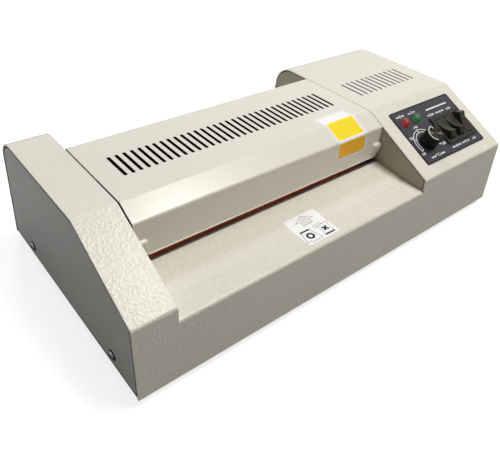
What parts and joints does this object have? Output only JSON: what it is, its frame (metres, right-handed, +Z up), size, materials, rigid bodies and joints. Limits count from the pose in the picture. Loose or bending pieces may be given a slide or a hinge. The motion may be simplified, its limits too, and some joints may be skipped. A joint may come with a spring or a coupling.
{
  "type": "desktop laminator",
  "caption": "Desktop pouch laminator: folded sheet-metal case, slotted hinged cover over geared heated rollers, sloping control panel with dial, lamps and rocker switches.",
  "frame": {"origin": "middle of the footprint, on the surface that the feet stand on", "axes": "+X to the right as the user faces the machine, +Y from the feed slot to the back, +Z up"},
  "size_m": [0.3884, 0.212, 0.104],
  "materials": {
    "cream_enamel": "hammer-textured baked enamel",
    "grey_enamel": "smooth satin paint",
    "zinc_plate": "zinc-plated sheet",
    "bright_steel": "ground bar",
    "aluminium": "spun bright",
    "brass": "sintered bush",
    "silicone_rubber": "matt red-brown silicone",
    "black_rubber": "matt",
    "white_nylon": "natural",
    "dark_plastic": "satin black",
    "panel_film": "satin dark slate",
    "dark_guide": "baked dark coating",
    "red_lens": "clear red",
    "green_lens": "clear green",
    "board": "green laminate",
    "ceramic": "white glazed",
    "black_screw": "black oxide"
  },
  "bodies": {
    "cabinet": {"outer_casing": "cream_enamel", "base_pan": "zinc_plate", "left_end_plate": "grey_enamel", "right_end_plate": "grey_enamel", "left_inner_wall": "grey_enamel", "right_inner_wall": "grey_enamel", "rubber_feet": "black_rubber", "casing_screws": "black_screw", "infeed_guide_strip": "dark_guide", "middle_lower_guide": "dark_guide", "middle_upper_guide": "dark_guide", "exit_guide": "dark_guide", "left_side_frame": "zinc_plate", "right_side_frame": "zinc_plate", "frame_tie_rods": "bright_steel", "lower_roller_bushes": "brass", "upper_bearing_blocks": "white_nylon", "pressure_springs": "bright_steel", "spring_bridges": "zinc_plate", "idler_stud": "bright_steel", "gear_motor": "zinc_plate", "motor_bracket": "zinc_plate", "heater_tubes": "ceramic", "heater_brackets": "zinc_plate", "upper_heat_shield": "dark_guide", "lower_heat_shield": "dark_guide", "temperature_sensor": "dark_plastic", "thermal_cutout": "dark_plastic", "control_panel": "panel_film", "potentiometer": "dark_plastic", "power_lamp": "red_lens", "ready_lamp": "green_lens", "rocker_switch_bodies": "dark_plastic", "circuit_board": "board", "power_inlet": "dark_plastic"},
    "cover": {"top_cover": "cream_enamel", "left_cover_catch": "cream_enamel", "right_cover_catch": "cream_enamel", "cover_hinge_pins": "bright_steel"},
    "lower_hot_roller": {"lower_hot_roller_core": "aluminium", "lower_hot_roller_sleeve": "silicone_rubber", "lower_hot_gear": "white_nylon"},
    "upper_hot_roller": {"upper_hot_roller_core": "aluminium", "upper_hot_roller_sleeve": "silicone_rubber", "upper_hot_gear": "white_nylon"},
    "lower_pull_roller": {"lower_pull_roller_shaft": "bright_steel", "lower_pull_roller_sleeve": "silicone_rubber", "lower_pull_gear": "white_nylon"},
    "upper_pull_roller": {"upper_pull_roller_shaft": "bright_steel", "upper_pull_roller_sleeve": "silicone_rubber", "upper_pull_gear": "white_nylon"},
    "idler": {"idler_gear": "white_nylon"},
    "pinion": {"motor_pinion": "white_nylon"},
    "knob": {"temperature_knob": "dark_plastic", "knob_cap": "aluminium"},
    "heat_switch": {"heat_rocker": "dark_plastic"},
    "direction_switch": {"direction_rocker": "dark_plastic"},
    "power_switch": {"power_rocker": "dark_plastic"}
  },
  "joints": [
    {"name": "cover_hinge", "type": "hinge", "parent": "cabinet", "child": "cover", "pos_m": [0, 0.042, 0.094], "axis": [-1, 0, 0], "range_deg": [0, 70]},
    {"name": "lower_hot_roller_spin", "type": "hinge", "parent": "cabinet", "child": "lower_hot_roller", "pos_m": [0, -0.036, 0.0495], "axis": [1, 0, 0], "continuous": true},
    {"name": "upper_hot_roller_spin", "type": "hinge", "parent": "cabinet", "child": "upper_hot_roller", "pos_m": [0, -0.036, 0.0745], "axis": [1, 0, 0], "continuous": true},
    {"name": "idler_spin", "type": "hinge", "parent": "cabinet", "child": "idler", "pos_m": [0, -0.01319, 0.04288], "axis": [1, 0, 0], "continuous": true},
    {"name": "lower_pull_roller_spin", "type": "hinge", "parent": "cabinet", "child": "lower_pull_roller", "pos_m": [0, 0.006, 0.052], "axis": [1, 0, 0], "continuous": true},
    {"name": "upper_pull_roller_spin", "type": "hinge", "parent": "cabinet", "child": "upper_pull_roller", "pos_m": [0, 0.006, 0.072], "axis": [1, 0, 0], "continuous": true},
    {"name": "pinion_spin", "type": "hinge", "parent": "cabinet", "child": "pinion", "pos_m": [0, 0.02507, 0.04599], "axis": [1, 0, 0], "continuous": true},
    {"name": "knob_turn", "type": "hinge", "parent": "cabinet", "child": "knob", "pos_m": [0.1121, -0.0786, 0.08177], "axis": [0, -0.4568, 0.8896], "range_deg": [-150, 150]},
    {"name": "heat_switch_rock", "type": "hinge", "parent": "cabinet", "child": "heat_switch", "pos_m": [0.1403, -0.07504, 0.08382], "axis": [1, 0, 0], "range_deg": [0, 42]},
    {"name": "direction_switch_rock", "type": "hinge", "parent": "cabinet", "child": "direction_switch", "pos_m": [0.1542, -0.07504, 0.08382], "axis": [1, 0, 0], "range_deg": [0, 42]},
    {"name": "power_switch_rock", "type": "hinge", "parent": "cabinet", "child": "power_switch", "pos_m": [0.1681, -0.07504, 0.08382], "axis": [1, 0, 0], "range_deg": [-42, 0]}
  ],
  "couplings": [
    {"joint": "upper_hot_roller_spin", "follows": "lower_hot_roller_spin", "ratio": -1},
    {"joint": "idler_spin", "follows": "lower_hot_roller_spin", "ratio": -1.1111},
    {"joint": "lower_pull_roller_spin", "follows": "lower_hot_roller_spin", "ratio": 1.25},
    {"joint": "upper_pull_roller_spin", "follows": "lower_hot_roller_spin", "ratio": -1.25},
    {"joint": "pinion_spin", "follows": "lower_hot_roller_spin", "ratio": -1.25}
  ]
}
